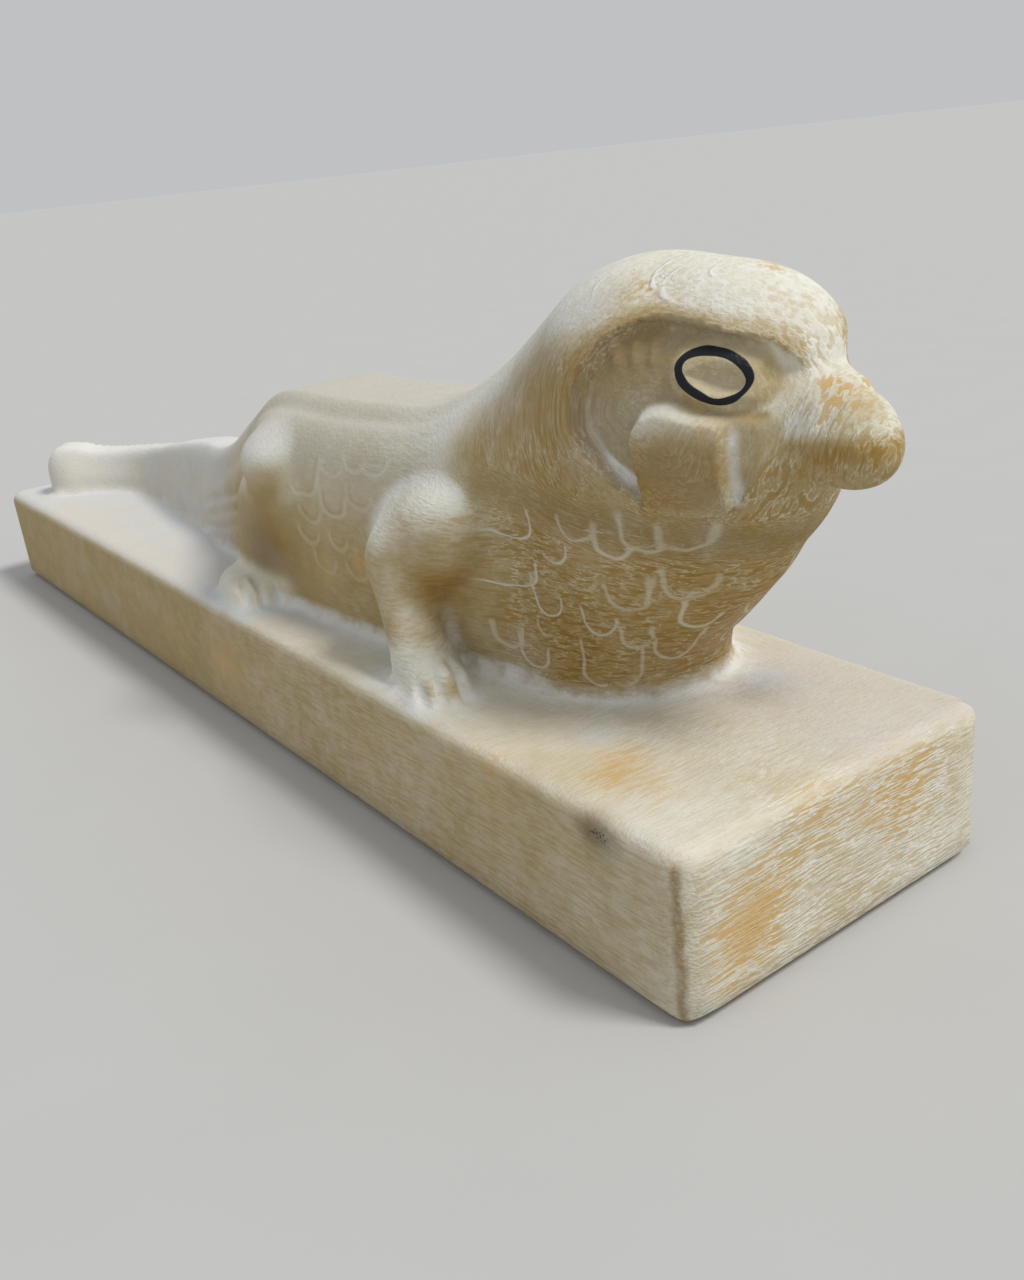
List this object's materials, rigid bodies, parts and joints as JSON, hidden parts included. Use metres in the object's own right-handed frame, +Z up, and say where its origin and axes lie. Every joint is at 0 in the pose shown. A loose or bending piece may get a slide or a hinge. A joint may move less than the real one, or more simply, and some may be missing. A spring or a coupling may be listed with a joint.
{
  "type": "falcon-headed crocodile figure",
  "caption": "Small cast figure of a crocodile with a falcon's head, lying along a plain slab plinth, tail curled to one side, brushed cream over ochre, eye ringed in black",
  "frame": {"origin": "the centre of the plinth's underside, on the surface that it stands on", "axes": "+Z up, +X along the plinth towards the beak, -Y the side that the tail curls to"},
  "size_m": [0.2918, 0.062, 0.091],
  "materials": {
    "painted_cast_stone": "matt cast stone, ochre under a brushed cream wash, pale powder in the grooves, the eye's ring painted black by hand"
  },
  "bodies": {
    "root": {"figure_on_plinth": "painted_cast_stone"}
  },
  "joints": []
}
